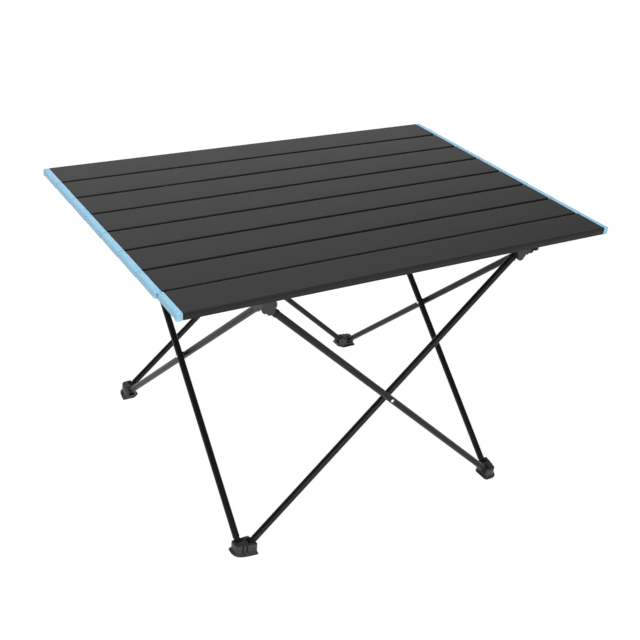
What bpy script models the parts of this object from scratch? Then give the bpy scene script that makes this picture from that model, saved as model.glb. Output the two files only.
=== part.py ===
"""Folding camp table: a roll-up top of eight aluminium slats on a square scissor frame.

Metres, +X right along the slats, +Y to the back, +Z up, origin on the floor under the middle of the top.
"""
import math

import bmesh
import bpy
from mathutils import Matrix, Vector

# The top: eight channel slats, strung side by side on two elastic cords
TABLE_LENGTH = 0.5600
TABLE_HEIGHT = 0.3420
SLAT_COUNT = 8
SLAT_WIDTH = 0.0467
SLAT_GAP = 0.0023
FRONT_GAP = 0.0012
FRONT_SLIDE = 0.0012
SLAT_DEPTH = 0.0070
SKIRT_DEPTH = 0.0082
SLAT_WALL = 0.0012
SKIRT_WALL = 0.0016
LIP = 0.0042
EDGE_RADIUS = 0.0010
RIB_DEPTH = 0.0020

# End caps and the elastic cord that runs through them
CAP_LENGTH = 0.0067
CAP_OVERHANG = 0.0009
CAP_DEPTH = 0.0077
CAP_SKIRT_DEPTH = 0.0089
CAP_SKIRT_WIDTH = 0.0032
CAP_GAP = 0.0004
CAP_EDGE = 0.0007
PRONG_LENGTH = 0.0110
PRONG_ROOT = 0.0010
CORD_RADIUS = 0.00125
CORD_DROP = 0.0039
KNOT_RADIUS = 0.0023
KNOT_SETBACK = 0.0030
POCKET_DEPTH = 0.0052

# The frame: two crossed tubes on each of four faces, between four feet and four top hubs. The feet
# stand wider apart than the hubs, so the tubes splay, and the top lies a little right of the frame. A
# setback is how far a pivot lies in along the face, and an offset how far across it.
FRAME_SHIFT = -0.0032
FOOT_DISTANCE = 0.1803
HUB_DISTANCE = 0.1753
FOOT_OFFSET = 0.0030
HUB_OFFSET = 0.0060
FOOT_SETBACK = 0.0099
FOOT_PIVOT_Z = 0.0098
HUB_PIVOT_Z = 0.3208

# Leg tubes, their moulded end eyes, and the crossing rivets
TUBE_RADIUS = 0.0040
TUBE_WALL = 0.0008
FOOT_EYE_RADIUS = 0.0040
HUB_EYE_RADIUS = 0.0046
EYE_BORE = 0.0022
EYE_OVERLAP = 0.0010
NECK_HALF_WIDTH = 0.0034
FOOT_FITTING_LENGTH = 0.0068
HUB_FITTING_LENGTH = 0.0134
FOOT_COLLAR_RADIUS = 0.0042
HUB_COLLAR_RADIUS = 0.0051
COLLAR_LENGTH = 0.0022
PLUG_LENGTH = 0.0150
RIVET_HOLE = 0.0018
RIVET_PLAY = 0.0002
SHANK_RADIUS = 0.0014
RIVET_HEAD_RADIUS = 0.0021
RIVET_HEAD_HEIGHT = 0.0012
RIVET_DOME = ((0, 1), (0.55, 0.9), (1, 0.35), (1, 0))
SPACER_RADIUS = 0.0036

# Slots and snap bosses of the feet and hubs
SLOT_HALF_WIDTH = 0.0043
SLOT_RUN_OUT = 0.0200
FOOT_SLOT_CLEARANCE = 0.0045
HUB_SLOT_CLEARANCE = 0.0051
BOSS_RADIUS = 0.0018
BOSS_TIP = 0.0014
BOSS_REACH = 0.0028
BOSS_ROOT = 0.0010

# Foot moulding: its levels, its grooves, and the outlines of its block and sole, both as distances along
# the table's edge and across it, in the same order
SOLE_EDGE_TOP = 0.0009
SOLE_TOP = 0.0024
FOOT_TOP = 0.0133
FOOT_EDGE = 0.0006
GROOVE_BOTTOM = 0.0036
GROOVES = ((-0.0042, -0.0021, -0.0018), (0.0009, 0.0027, -0.0028))
BLOCK_OUTLINE = (
    (-0.0100, 0.0118),
    (-0.0108, 0.0110),
    (-0.0108, 0.0045),
    (-0.0100, 0.0000),
    (-0.0078, -0.0024),
    (-0.0042, -0.0034),
    (0.0020, -0.0045),
    (0.0134, -0.0062),
    (0.0145, -0.0053),
    (0.0146, 0.0060),
    (0.0093, 0.0110),
    (0.0080, 0.0118),
)
SOLE_OUTLINE = (
    (-0.0112, 0.0146),
    (-0.0133, 0.0125),
    (-0.0136, 0.0045),
    (-0.0125, 0.0000),
    (-0.0101, -0.0035),
    (-0.0062, -0.0060),
    (0.0012, -0.0080),
    (0.0138, -0.0095),
    (0.0147, -0.0085),
    (0.0149, 0.0066),
    (0.0105, 0.0122),
    (0.0080, 0.0146),
)

# Top hub moulding: a head that the slats lie on, and below it a core that holds the pivots
HEAD_BOTTOM = 0.3215
HEAD_LOW = (-0.0075, -0.0137)
HEAD_HIGH = (0.0131, 0.0125)
HEAD_WAIST = 0.3262
HEAD_TOP_HIGH = (0.0085, 0.0090)
HEAD_RADII = (0.0030, 0.0022, 0.0022, 0.0022)
CORE_BOTTOM = 0.3135
CORE_EDGE = 0.0004
CORE_OUTLINE = ((-0.0020, -0.0055), (0.0121, -0.0055), (0.0121, 0.0125), (-0.0020, 0.0125))

# The clearance between pieces that touch, and the spacing under which doubled points are merged
FIT = 0.0003
WELD = 0.00001

TOP_WIDTH = SLAT_COUNT * SLAT_WIDTH + (SLAT_COUNT - 2) * SLAT_GAP + FRONT_GAP
# All arms are equal, so the feet and the hubs draw together at one rate as the frame folds
ARM_RUN = FOOT_DISTANCE - FOOT_SETBACK
HUB_SETBACK = HUB_DISTANCE - ARM_RUN
TUBE_RISE = HUB_PIVOT_Z - FOOT_PIVOT_Z
TUBE_LENGTH = math.hypot(2 * ARM_RUN, TUBE_RISE)
TUBE_ANGLE = math.atan2(TUBE_RISE, 2 * ARM_RUN)
CROSSING_Z = (FOOT_PIVOT_Z + HUB_PIVOT_Z) / 2
CROSSING_DISTANCE = (FOOT_DISTANCE + HUB_DISTANCE) / 2
CROSSING_OFFSET = (FOOT_OFFSET + HUB_OFFSET) / 2

for old in list(bpy.data.objects):
    bpy.data.objects.remove(old)

table = bpy.data.collections.new("folding_camp_table")
bpy.context.scene.collection.children.link(table)


def material(name, colour, roughness, metallic):
    made = bpy.data.materials.new(name)
    made.use_nodes = True
    surface = made.node_tree.nodes["Principled BSDF"]
    surface.inputs["Base Color"].default_value = (*colour, 1)
    surface.inputs["Roughness"].default_value = roughness
    surface.inputs["Metallic"].default_value = metallic
    return made


SLAT_METAL = material("anodised_slat", (0.055, 0.055, 0.052), 0.45, 0.6)
CAP_PLASTIC = material("blue_plastic", (0.33, 0.62, 0.82), 0.45, 0)
CORD_RUBBER = material("elastic_cord", (0.02, 0.02, 0.02), 0.85, 0)
TUBE_METAL = material("black_tube", (0.015, 0.015, 0.014), 0.3, 0.6)
BLACK_PLASTIC = material("black_plastic", (0.03, 0.03, 0.03), 0.5, 0)
RIVET_STEEL = material("rivet_steel", (0.75, 0.75, 0.74), 0.3, 1)


# Modelling helpers


def scratch(name, mesh):
    """An object that a shape is worked on with, outside the table's collection."""
    made = bpy.data.objects.new(name, mesh)
    bpy.context.scene.collection.objects.link(made)
    return made


def from_bmesh(name, bm):
    mesh = bpy.data.meshes.new(name)
    bm.to_mesh(mesh)
    bm.free()
    return scratch(name, mesh)


def box(low, high):
    low, high = Vector(low), Vector(high)
    bm = bmesh.new()
    bmesh.ops.create_cube(bm, size=1)
    bmesh.ops.scale(bm, vec=high - low, verts=bm.verts)
    bmesh.ops.translate(bm, vec=(low + high) / 2, verts=bm.verts)
    return from_bmesh("box", bm)


def rod(start, end, radius, tip_radius=None, segments=12):
    """A cylinder, or a cone if it has a tip radius, from one point to another."""
    start, end = Vector(start), Vector(end)
    turn = Vector((0, 0, 1)).rotation_difference(end - start).to_matrix().to_4x4()
    bm = bmesh.new()
    bmesh.ops.create_cone(
        bm,
        cap_ends=True,
        segments=segments,
        radius1=radius,
        radius2=radius if tip_radius is None else tip_radius,
        depth=(end - start).length,
        matrix=Matrix.Translation((start + end) / 2) @ turn,
    )
    return from_bmesh("rod", bm)


def evaluated_mesh(source):
    graph = bpy.context.evaluated_depsgraph_get()
    return bpy.data.meshes.new_from_object(source.evaluated_get(graph))


def combine(body, tool, operation):
    """Joins the tool to the body, or cuts the body with it, and removes the tool."""
    step = body.modifiers.new(operation.lower(), "BOOLEAN")
    step.operation = operation
    step.object = tool
    step.solver = "EXACT"
    body.data = evaluated_mesh(body)
    body.modifiers.clear()
    bpy.data.objects.remove(tool)


def chamfer(body, width, segments=1):
    step = body.modifiers.new("chamfer", "BEVEL")
    step.width = width
    step.segments = segments
    step.limit_method = "ANGLE"
    step.angle_limit = math.radians(50)
    body.data = evaluated_mesh(body)
    body.modifiers.clear()


def corner_arc(centre, radius, start_degrees, steps):
    """Points of a quarter circle, counter-clockwise."""
    return [
        (
            centre[0] + radius * math.cos(math.radians(start_degrees + 90 * i / steps)),
            centre[1] + radius * math.sin(math.radians(start_degrees + 90 * i / steps)),
        )
        for i in range(steps + 1)
    ]


def rounded_rectangle(low, high, radii, steps=3):
    """Corner radii run counter-clockwise from the low corner."""
    (x0, y0), (x1, y1) = low, high
    a, b, c, d = radii
    return (
        corner_arc((x0 + a, y0 + a), a, 180, steps)
        + corner_arc((x1 - b, y0 + b), b, 270, steps)
        + corner_arc((x1 - c, y1 - c), c, 0, steps)
        + corner_arc((x0 + d, y1 - d), d, 90, steps)
    )


def extrusion(name, outline, length):
    """A flat outline, counter-clockwise, given a thickness that straddles its plane."""
    curve = bpy.data.curves.new(name, "CURVE")
    curve.dimensions = "2D"
    curve.fill_mode = "BOTH"
    curve.extrude = length / 2
    line = curve.splines.new("POLY")
    line.points.add(len(outline) - 1)
    for point, (x, y) in zip(line.points, outline):
        point.co = (x, y, 0, 1)
    line.use_cyclic_u = True
    shape = scratch(name, curve)
    mesh = evaluated_mesh(shape)
    bm = bmesh.new()
    bm.from_mesh(mesh)
    bmesh.ops.remove_doubles(bm, verts=bm.verts, dist=WELD)
    bmesh.ops.recalc_face_normals(bm, faces=bm.faces)
    bm.to_mesh(mesh)
    bm.free()
    bpy.data.objects.remove(shape)
    return scratch(name, mesh)


def drawn_in(outline, by):
    """The outline with its sides moved in, about its middle."""
    low = Vector([min(point[axis] for point in outline) for axis in (0, 1)])
    high = Vector([max(point[axis] for point in outline) for axis in (0, 1)])
    middle, size = (low + high) / 2, high - low
    shrink = [1 - 2 * by / side for side in size]
    return [tuple(middle[axis] + (point[axis] - middle[axis]) * shrink[axis] for axis in (0, 1)) for point in outline]


def moulding(name, levels):
    """A solid drawn from level to level: each level is a height and an outline of as many points."""
    bm = bmesh.new()
    rings = [[bm.verts.new((x, y, height)) for x, y in outline] for height, outline in levels]
    bm.faces.new(reversed(rings[0]))
    bm.faces.new(rings[-1])
    for low, high in zip(rings, rings[1:]):
        for i, j in enumerate([*range(1, len(low)), 0]):
            bm.faces.new((low[i], low[j], high[j], high[i]))
    bmesh.ops.recalc_face_normals(bm, faces=bm.faces)
    return from_bmesh(name, bm)


def finished(shape):
    """Takes the mesh off a worked shape, shaded smooth up to its edges."""
    mesh = shape.data
    bpy.data.objects.remove(shape)
    mesh.shade_smooth()
    mesh.set_sharp_from_angle(angle=math.radians(35))
    return mesh


# Placing helpers: every body hangs from an empty on its joint's axis

joints = {}


def joint(name, parent, place):
    """An empty on a joint's axis, under the empty of the body that carries it."""
    empty = bpy.data.objects.new("joint_" + name, None)
    empty.empty_display_size = 0.02
    table.objects.link(empty)
    place = Vector(place)
    if parent:
        empty.parent = joints[parent][0]
        empty.location = place - joints[parent][1]
    else:
        empty.location = place
    joints[name] = (empty, place)


def node(name, mesh, surface, body, place, turn=None):
    """A piece of the table, at a place in the table's frame, riding on its body's empty."""
    piece = bpy.data.objects.new(name, mesh)
    if not mesh.materials:
        mesh.materials.append(surface)
    table.objects.link(piece)
    empty, origin = joints[body]
    piece.parent = empty
    piece.location = Vector(place) - origin
    if turn is not None:
        piece.rotation_euler = turn.to_euler()
    return piece


# The frame's joint tree

CORNERS = ("front_left", "front_right", "back_right", "back_left")
FACES = ("front", "right", "back", "left")
CORNER_SIGNS = ((-1, -1), (1, -1), (1, 1), (-1, 1))


def quarter_turn(count):
    return Matrix.Rotation(math.radians(90 * count), 3, "Z")


def corner_point(index, distance, along, across, height):
    """A point near a corner: along runs to the next corner counter-clockwise, across to the one before."""
    sx, sy = CORNER_SIGNS[index % 4]
    corner = Vector((FRAME_SHIFT + sx * distance, sy * distance, height))
    return corner + quarter_turn(index) @ Vector((along, across, 0))


def crossing_point(index, outward):
    middle = quarter_turn(index) @ Vector((0, -CROSSING_DISTANCE - outward, CROSSING_Z))
    return middle + Vector((FRAME_SHIFT, 0, 0))


def inner_tube_foot(index):
    return corner_point(index, FOOT_DISTANCE, FOOT_SETBACK, FOOT_OFFSET, FOOT_PIVOT_Z)


def inner_tube_hub(index):
    """Where the inner tube of a face ends, in the hub of the next corner."""
    return corner_point(index + 1, HUB_DISTANCE, HUB_OFFSET, HUB_SETBACK, HUB_PIVOT_Z)


def outer_tube_foot(index):
    """Where the outer tube of a face starts, in the foot of the next corner."""
    return corner_point(index + 1, FOOT_DISTANCE, -FOOT_OFFSET, FOOT_SETBACK, FOOT_PIVOT_Z)


def outer_tube_hub(index):
    return corner_point(index, HUB_DISTANCE, HUB_SETBACK, -HUB_OFFSET, HUB_PIVOT_Z)


joint("foot_front_left", None, corner_point(0, FOOT_DISTANCE, 0, 0, 0))
joint("tube_front_inner", "foot_front_left", inner_tube_foot(0))
joint("tube_front_outer", "tube_front_inner", crossing_point(0, 0))
joint("hub_front_right", "tube_front_inner", inner_tube_hub(0))
joint("foot_front_right", "tube_front_outer", outer_tube_foot(0))
joint("hub_front_left", "tube_front_outer", outer_tube_hub(0))
joint("tube_left_outer", "foot_front_left", outer_tube_foot(3))
joint("tube_left_inner", "tube_left_outer", crossing_point(3, 0))
joint("hub_back_left", "tube_left_outer", outer_tube_hub(3))
joint("foot_back_left", "tube_left_inner", inner_tube_foot(3))
joint("tube_right_inner", "foot_front_right", inner_tube_foot(1))
joint("tube_right_outer", "tube_right_inner", crossing_point(1, 0))
joint("hub_back_right", "tube_right_inner", inner_tube_hub(1))
joint("foot_back_right", "tube_right_outer", outer_tube_foot(1))
joint("tube_back_outer", "foot_back_left", outer_tube_foot(2))
joint("tube_back_inner", "tube_back_outer", crossing_point(2, 0))


# Feet: a flared sole, a moulded block and two open slots, with snap bosses for the tube eyes


def slot(body, setback, across, turned, clearance, low_z, high_z):
    """Cuts the slot that a tube eye turns in, open at its far end."""
    low = (setback - clearance, across - SLOT_HALF_WIDTH, low_z)
    high = (setback + SLOT_RUN_OUT, across + SLOT_HALF_WIDTH, high_z)
    cutter = box(low, high)
    cutter.data.transform(quarter_turn(1 if turned else 0).to_4x4())
    combine(body, cutter, "DIFFERENCE")


def boss(body, setback, across, turned, pivot_z, side, reach):
    """The snap boss that stands on one wall of a slot and reaches into the eye's bore."""
    turn = quarter_turn(1 if turned else 0)
    root = Vector((setback, across + side * (SLOT_HALF_WIDTH + BOSS_ROOT), pivot_z))
    tip = Vector((setback, across + side * (SLOT_HALF_WIDTH - reach), pivot_z))
    combine(body, rod(turn @ root, turn @ tip, BOSS_RADIUS, BOSS_TIP), "UNION")


def foot_mesh():
    levels = (
        (0, SOLE_OUTLINE),
        (SOLE_EDGE_TOP, SOLE_OUTLINE),
        (SOLE_TOP, BLOCK_OUTLINE),
        (FOOT_TOP - FOOT_EDGE, BLOCK_OUTLINE),
        (FOOT_TOP, drawn_in(BLOCK_OUTLINE, FOOT_EDGE)),
    )
    foot = moulding("foot", levels)
    slot_floor = FOOT_PIVOT_Z - FOOT_SLOT_CLEARANCE - FIT
    for turned in (False, True):
        slot(foot, FOOT_SETBACK, FOOT_OFFSET, turned, FOOT_SLOT_CLEARANCE, slot_floor, FOOT_TOP + FIT)
        for side in (-1, 1):
            boss(foot, FOOT_SETBACK, FOOT_OFFSET, turned, FOOT_PIVOT_Z, side, BOSS_REACH)
    front = min(across for along, across in SOLE_OUTLINE)
    for start, end, depth in GROOVES:
        combine(foot, box((start, front, GROOVE_BOTTOM), (end, depth, FOOT_TOP + FIT)), "DIFFERENCE")
    return finished(foot)


def hub_mesh():
    """The same slots turned over. The outer one has a wall outside it only up in the head."""
    head_outline = rounded_rectangle(HEAD_LOW, HEAD_HIGH, HEAD_RADII)
    seat_outline = rounded_rectangle(HEAD_LOW, HEAD_TOP_HIGH, HEAD_RADII)
    seat_z = TABLE_HEIGHT - SLAT_DEPTH - FIT
    hub = moulding("hub", ((HEAD_BOTTOM, head_outline), (HEAD_WAIST, head_outline), (seat_z, seat_outline)))
    core_levels = (
        (CORE_BOTTOM, drawn_in(CORE_OUTLINE, CORE_EDGE)),
        (CORE_BOTTOM + CORE_EDGE, CORE_OUTLINE),
        (HEAD_BOTTOM + FIT, CORE_OUTLINE),
    )
    combine(hub, moulding("core", core_levels), "UNION")
    slot_roof = HUB_PIVOT_Z + HUB_SLOT_CLEARANCE
    for turned in (False, True):
        slot(hub, HUB_SETBACK, -HUB_OFFSET, turned, HUB_SLOT_CLEARANCE, CORE_BOTTOM - FIT, slot_roof)
    boss(hub, HUB_SETBACK, -HUB_OFFSET, False, HUB_PIVOT_Z, 1, 2 * SLOT_HALF_WIDTH - BOSS_ROOT)
    for side in (-1, 1):
        boss(hub, HUB_SETBACK, -HUB_OFFSET, True, HUB_PIVOT_Z, side, BOSS_REACH)
    return finished(hub)


foot_shape = foot_mesh()
hub_shape = hub_mesh()
for index, corner in enumerate(CORNERS):
    turn = quarter_turn(index)
    foot_place = corner_point(index, FOOT_DISTANCE, 0, 0, 0)
    hub_place = corner_point(index, HUB_DISTANCE, 0, 0, 0)
    node("foot_" + corner, foot_shape, BLACK_PLASTIC, "foot_" + corner, foot_place, turn)
    node("top_hub_" + corner, hub_shape, BLACK_PLASTIC, "hub_" + corner, hub_place, turn)


# Leg tubes: a drawn tube with a moulded eye plugged into each end, lying along X about its rivet hole


def leg_tube_mesh(splay):
    """From the foot at -X to the hub at +X. The splay is how far it leans in, in Y, over its length."""
    half = TUBE_LENGTH / 2
    tube_ends = (FOOT_FITTING_LENGTH - half, 0, 0), (half - HUB_FITTING_LENGTH, 0, 0)
    tube = rod(*tube_ends, TUBE_RADIUS, segments=16)
    bore = rod((PLUG_LENGTH - half, 0, 0), (half - PLUG_LENGTH, 0, 0), TUBE_RADIUS - TUBE_WALL)
    combine(tube, bore, "DIFFERENCE")
    combine(tube, rod((0, -2 * TUBE_RADIUS, 0), (0, 2 * TUBE_RADIUS, 0), RIVET_HOLE), "DIFFERENCE")
    for end, fitting_length, eye_radius, collar_radius in (
        (-half, FOOT_FITTING_LENGTH, FOOT_EYE_RADIUS, FOOT_COLLAR_RADIUS),
        (half, HUB_FITTING_LENGTH, HUB_EYE_RADIUS, HUB_COLLAR_RADIUS),
    ):
        inward = math.copysign(1, -end)
        eye = rod((end, -TUBE_RADIUS, 0), (end, TUBE_RADIUS, 0), eye_radius, segments=16)
        neck_end = end + inward * (fitting_length + EYE_OVERLAP)
        neck_half = eye_radius - TUBE_RADIUS + NECK_HALF_WIDTH
        neck_low = (min(end, neck_end), -NECK_HALF_WIDTH, -neck_half)
        combine(eye, box(neck_low, (max(end, neck_end), NECK_HALF_WIDTH, neck_half)), "UNION")
        collar_middle = end + inward * fitting_length
        collar_ends = [(collar_middle + side * COLLAR_LENGTH / 2, 0, 0) for side in (-1, 1)]
        combine(eye, rod(*collar_ends, collar_radius, segments=16), "UNION")
        combine(eye, rod((end, -2 * TUBE_RADIUS, 0), (end, 2 * TUBE_RADIUS, 0), EYE_BORE), "DIFFERENCE")
        combine(tube, eye, "UNION")
    lean = Matrix.Identity(4)
    lean[1][0] = splay / TUBE_LENGTH
    tube.data.transform(lean)
    return finished(tube)


# The outer tubes face the other way along their face, so their lean is turned round
inner_splay = (FOOT_DISTANCE - FOOT_OFFSET) - (HUB_DISTANCE - HUB_OFFSET)
outer_splay = (HUB_DISTANCE + HUB_OFFSET) - (FOOT_DISTANCE + FOOT_OFFSET)
tilt = Matrix.Rotation(-TUBE_ANGLE, 3, "Y")
for which, splay, outward, half_turn in (
    ("inner", inner_splay, -CROSSING_OFFSET, 0),
    ("outer", outer_splay, CROSSING_OFFSET, 2),
):
    tube_shape = leg_tube_mesh(splay)
    for index, face in enumerate(FACES):
        name, body = f"leg_tube_{face}_{which}", f"tube_{face}_{which}"
        turn = quarter_turn(index + half_turn) @ tilt
        node(name, tube_shape, TUBE_METAL, body, crossing_point(index, outward), turn)


# Crossing rivets: one turned piece whose shoulder keeps the two tubes of a face apart


def rivet_mesh():
    grip = CROSSING_OFFSET + TUBE_RADIUS + RIVET_PLAY
    spacer = CROSSING_OFFSET - TUBE_RADIUS - RIVET_PLAY
    half = [(out * RIVET_HEAD_RADIUS, grip + up * RIVET_HEAD_HEIGHT) for out, up in RIVET_DOME]
    half += [(SHANK_RADIUS, grip), (SHANK_RADIUS, spacer), (SPACER_RADIUS, spacer)]
    profile = half + [(radius, -height) for radius, height in reversed(half)]
    bm = bmesh.new()
    points = [bm.verts.new((radius, 0, height)) for radius, height in profile]
    for first, second in zip(points, points[1:]):
        bm.edges.new((first, second))
    rivet = from_bmesh("rivet", bm)
    turned = rivet.modifiers.new("turned", "SCREW")
    turned.steps = turned.render_steps = 12
    turned.use_merge_vertices = True
    turned.merge_threshold = WELD
    rivet.data = evaluated_mesh(rivet)
    rivet.modifiers.clear()
    rivet.data.transform(Matrix.Rotation(math.radians(90), 4, "X"))
    return finished(rivet)


rivet_shape = rivet_mesh()
for index, face in enumerate(FACES):
    body = ("tube_front_inner", "tube_right_inner", "tube_back_outer", "tube_left_outer")[index]
    place = crossing_point(index, 0)
    node("crossing_rivet_" + face, rivet_shape, RIVET_STEEL, body, place, quarter_turn(index))


# Slats: folded-edge channels, the first and last with a deeper skirt on the table's outside


def slat_outline(skirt_side):
    """The channel's section, Y across and Z down from the top face. skirt_side is -1 front, 1 back, 0 none."""
    half = SLAT_WIDTH / 2
    ribs = SLAT_WIDTH / 6
    points = []
    if skirt_side:
        points += [(-half + SKIRT_WALL, -SLAT_WALL), (-half + SKIRT_WALL, -SKIRT_DEPTH), (-half, -SKIRT_DEPTH)]
    else:
        points += [
            (-half + SLAT_WALL, -SLAT_WALL),
            (-half + SLAT_WALL, -SLAT_DEPTH + SLAT_WALL),
            (-half + LIP, -SLAT_DEPTH + SLAT_WALL),
            (-half + LIP, -SLAT_DEPTH),
            (-half, -SLAT_DEPTH),
        ]
    points += reversed(corner_arc((-half + EDGE_RADIUS, -EDGE_RADIUS), EDGE_RADIUS, 90, 2))
    points += reversed(corner_arc((half - EDGE_RADIUS, -EDGE_RADIUS), EDGE_RADIUS, 0, 2))
    points += [
        (half, -SLAT_DEPTH),
        (half - LIP, -SLAT_DEPTH),
        (half - LIP, -SLAT_DEPTH + SLAT_WALL),
        (half - SLAT_WALL, -SLAT_DEPTH + SLAT_WALL),
        (half - SLAT_WALL, -SLAT_WALL),
    ]
    for rib in (ribs, -ribs):
        points += [
            (rib + SLAT_WALL / 2, -SLAT_WALL),
            (rib + SLAT_WALL / 2, -SLAT_WALL - RIB_DEPTH),
            (rib - SLAT_WALL / 2, -SLAT_WALL - RIB_DEPTH),
            (rib - SLAT_WALL / 2, -SLAT_WALL),
        ]
    if skirt_side > 0:
        points = [(-y, z) for y, z in points]
    else:
        points.reverse()
    return points


# An outline drawn in Y and Z, extruded along X
ALONG_X = Matrix(((0, 0, 1), (1, 0, 0), (0, 1, 0))).to_4x4()


def slat_mesh(skirt_side):
    slat = extrusion("slat", slat_outline(skirt_side), TABLE_LENGTH - 2 * CAP_LENGTH - 2 * FIT)
    slat.data.transform(ALONG_X)
    return finished(slat)


def cap_mesh(skirt_side, front_reach, back_reach, overhang):
    """The right-hand cap: a block past the slat's end and three prongs inside the channel.

    It is drawn with its bore on the origin in X, its slat's middle in Y and the top face in Z. Its
    reaches are how far it goes to the front and the back, to where the next cap begins, and its
    overhang is how far it goes past the front slat's cap.
    """
    low = -front_reach if skirt_side >= 0 else -SLAT_WIDTH / 2
    high = back_reach if skirt_side <= 0 else SLAT_WIDTH / 2
    outline = [(low, 0), (low, -CAP_DEPTH), (high, -CAP_DEPTH), (high, 0)]
    if skirt_side < 0:
        step = low + CAP_SKIRT_WIDTH
        outline[1:2] = [(low, -CAP_SKIRT_DEPTH), (step, -CAP_SKIRT_DEPTH), (step, -CAP_DEPTH)]
    if skirt_side > 0:
        step = high - CAP_SKIRT_WIDTH
        outline[2:3] = [(step, -CAP_DEPTH), (step, -CAP_SKIRT_DEPTH), (high, -CAP_SKIRT_DEPTH)]
    cap = extrusion("cap", outline, CAP_LENGTH + overhang)
    cap.data.transform(Matrix.Translation((overhang / 2, 0, 0)) @ ALONG_X)
    chamfer(cap, CAP_EDGE)
    inner = SLAT_WIDTH / 2 - max(SLAT_WALL, SKIRT_WALL if skirt_side else 0) - FIT
    rib = SLAT_WIDTH / 6
    clear = SLAT_WALL / 2 + FIT
    for start, end in ((-inner, -rib - clear), (-rib + clear, rib - clear), (rib + clear, inner)):
        prong = box(
            (-CAP_LENGTH / 2 - PRONG_LENGTH, start, -SLAT_DEPTH + SLAT_WALL + FIT),
            (-CAP_LENGTH / 2 + PRONG_ROOT, end, -SLAT_WALL - FIT),
        )
        combine(cap, prong, "UNION")
    bore = CORD_RADIUS + FIT
    combine(cap, rod((0, -SLAT_WIDTH, -CORD_DROP), (0, SLAT_WIDTH, -CORD_DROP), bore), "DIFFERENCE")
    if skirt_side:
        deep, clear_of_face = (skirt_side * (SLAT_WIDTH / 2 + step) for step in (-POCKET_DEPTH, CAP_LENGTH))
        pocket = rod((0, deep, -CORD_DROP), (0, clear_of_face, -CORD_DROP), KNOT_RADIUS + FIT)
        combine(cap, pocket, "DIFFERENCE")
    return finished(cap)


def cord_mesh(skirt_side, front_reach, back_reach):
    """One slat's stretch of the elastic cord, along Y, with a knot in the pocket of an outermost cap."""
    knot_y = SLAT_WIDTH / 2 - KNOT_SETBACK
    start = -knot_y if skirt_side < 0 else -front_reach
    end = knot_y if skirt_side > 0 else back_reach
    cord = rod((0, start, -CORD_DROP), (0, end, -CORD_DROP), CORD_RADIUS)
    if skirt_side:
        bm = bmesh.new()
        bmesh.ops.create_uvsphere(
            bm,
            u_segments=10,
            v_segments=6,
            radius=KNOT_RADIUS,
            matrix=Matrix.Translation((0, skirt_side * knot_y, -CORD_DROP)),
        )
        combine(cord, from_bmesh("knot", bm), "UNION")
    return finished(cord)


def mirrored(mesh):
    """The same piece for the left end."""
    copy = mesh.copy()
    copy.transform(Matrix.Scale(-1, 4, (1, 0, 0)))
    copy.flip_normals()
    return copy


SKIRT_SIDES = [-1] + [0] * (SLAT_COUNT - 2) + [1]
slat_shapes = {side: slat_mesh(side) for side in (-1, 0, 1)}

front_edge = -TOP_WIDTH / 2
hinge_y = None
for number, skirt_side in enumerate(SKIRT_SIDES, start=1):
    middle = front_edge + SLAT_WIDTH / 2
    body = f"slat_{number}"
    if number == 1:
        joint(body, "hub_front_left", (0, middle, TABLE_HEIGHT))
    else:
        joint(body, f"slat_{number - 1}", (0, hinge_y, TABLE_HEIGHT))
    gap_behind = FRONT_GAP if number == 1 else SLAT_GAP
    gap_before = FRONT_GAP if number == 2 else SLAT_GAP
    slide = FRONT_SLIDE / 2 if number == 1 else -FRONT_SLIDE / 2
    place = Vector((slide, middle, TABLE_HEIGHT))
    node(f"slat_{number}", slat_shapes[skirt_side], SLAT_METAL, body, place)
    front_reach = (SLAT_WIDTH + gap_before) / 2
    back_reach = (SLAT_WIDTH + gap_behind) / 2
    overhang = 0 if number == 1 else CAP_OVERHANG
    cap_shape = cap_mesh(skirt_side, front_reach - CAP_GAP / 2, back_reach - CAP_GAP / 2, overhang)
    cord_shape = cord_mesh(skirt_side, front_reach - FIT / 2, back_reach - FIT / 2)
    for end, sign, shape in (("left", -1, mirrored(cap_shape)), ("right", 1, cap_shape)):
        outboard = place + Vector((sign * (TABLE_LENGTH - CAP_LENGTH) / 2, 0, 0))
        node(f"end_cap_{end}_{number}", shape, CAP_PLASTIC, body, outboard)
        node(f"elastic_cord_{end}_{number}", cord_shape, CORD_RUBBER, body, outboard)
    hinge_y = front_edge + SLAT_WIDTH + gap_behind / 2
    front_edge += SLAT_WIDTH + gap_behind
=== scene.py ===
import math

import bmesh
import bpy
from mathutils import Matrix, Vector


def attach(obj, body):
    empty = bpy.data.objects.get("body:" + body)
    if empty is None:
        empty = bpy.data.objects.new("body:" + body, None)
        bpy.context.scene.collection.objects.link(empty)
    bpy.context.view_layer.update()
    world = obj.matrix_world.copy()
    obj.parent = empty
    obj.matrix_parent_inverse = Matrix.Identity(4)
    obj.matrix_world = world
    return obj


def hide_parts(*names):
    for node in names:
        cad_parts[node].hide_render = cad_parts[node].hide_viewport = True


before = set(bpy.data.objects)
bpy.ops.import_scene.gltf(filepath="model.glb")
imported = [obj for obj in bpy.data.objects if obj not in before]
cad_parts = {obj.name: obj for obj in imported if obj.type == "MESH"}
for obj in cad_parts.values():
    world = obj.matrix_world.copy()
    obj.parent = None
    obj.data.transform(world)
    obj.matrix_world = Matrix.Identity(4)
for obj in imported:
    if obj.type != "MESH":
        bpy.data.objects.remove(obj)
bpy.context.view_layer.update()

# The camera stands to the front left of the table, a little above it. Its place was solved from the
# photograph: the corners of the top, the gaps between the slats, the tubes and the feet.
CAMERA_AZIMUTH = math.radians(-33.50)
CAMERA_ELEVATION = math.radians(29.165)
CAMERA_ROLL = math.radians(5.457)
CAMERA_DISTANCE = 1.3174
CAMERA_SHIFT_RIGHT = 0.0062
CAMERA_SHIFT_UP = -0.0232
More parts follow.
